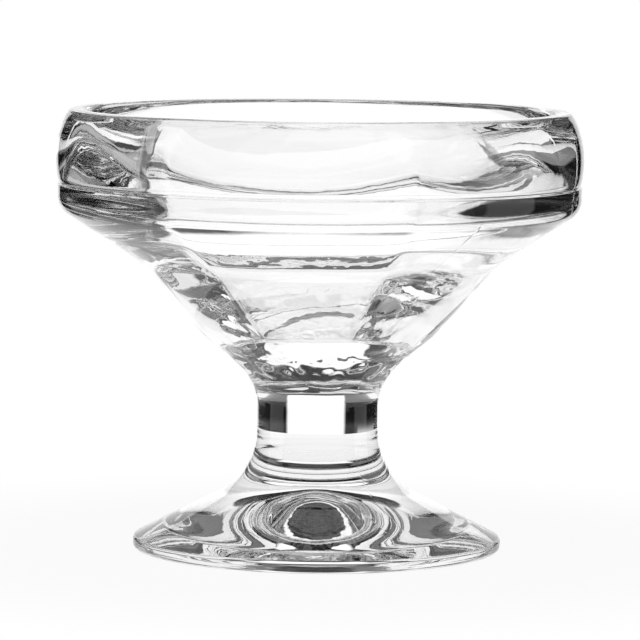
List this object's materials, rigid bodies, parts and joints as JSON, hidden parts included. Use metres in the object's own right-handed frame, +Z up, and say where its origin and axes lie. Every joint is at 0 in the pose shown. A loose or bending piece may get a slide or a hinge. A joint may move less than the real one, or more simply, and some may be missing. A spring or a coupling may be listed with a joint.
{
  "type": "ice cream cup",
  "caption": "Clear pressed-glass footed ice cream cup: barrel-shaped rim band, conical bowl with flat panels inside, short waisted stem and flared round foot.",
  "frame": {"origin": "centre of the foot's underside, on the surface that the cup stands on", "axes": "+Z up along the cup's axis, -Y towards the front that the picture shows, +X to the right"},
  "size_m": [0.1, 0.1, 0.0835],
  "materials": {
    "clear_glass": "clear fire-polished pressed glass, smooth and glossy, with faint flow waves"
  },
  "bodies": {
    "root": {"foot": "clear_glass", "stem": "clear_glass", "bowl": "clear_glass"}
  },
  "joints": []
}
